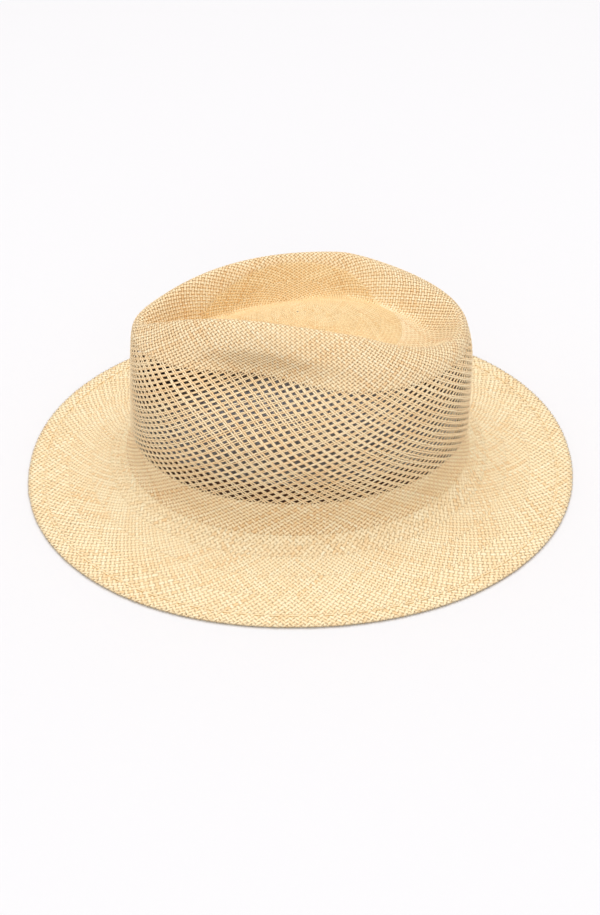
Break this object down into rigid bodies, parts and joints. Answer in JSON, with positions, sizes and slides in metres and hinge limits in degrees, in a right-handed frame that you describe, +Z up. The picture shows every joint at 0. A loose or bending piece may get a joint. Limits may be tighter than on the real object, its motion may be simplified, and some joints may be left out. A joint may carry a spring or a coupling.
{
  "type": "panama hat",
  "caption": "Woven straw fedora with a teardrop crown, a band of open weave round the crown, a wide round brim with a sewn hem, and a leather sweatband.",
  "frame": {"origin": "on the floor, under the middle of the brim", "axes": "+Z up, the pinched front of the crown towards -X, the back towards +X"},
  "size_m": [0.316, 0.282, 0.1211],
  "materials": {
    "straw": "close plain weave of toquilla straw, satin",
    "openwork_straw": "open weave of paired toquilla strands, satin",
    "hem_thread": "cotton sewing thread",
    "band_leather": "smooth calf, satin",
    "band_reed": "leather-covered reed",
    "band_thread": "cotton sewing thread",
    "seam_tape": "grosgrain tape",
    "ribbon": "narrow satin ribbon",
    "label_cloth": "plain woven label"
  },
  "bodies": {
    "root": {"crown_tip": "straw", "crown_upper": "straw", "crown_openwork": "openwork_straw", "crown_base": "straw", "brim": "straw", "brim_hem": "straw", "hem_stitches": "hem_thread", "sweatband": "band_leather", "sweatband_reed": "band_reed", "sweatband_stitches": "band_thread", "sweatband_seam": "seam_tape", "sweatband_bow": "ribbon", "size_label": "label_cloth"}
  },
  "joints": []
}
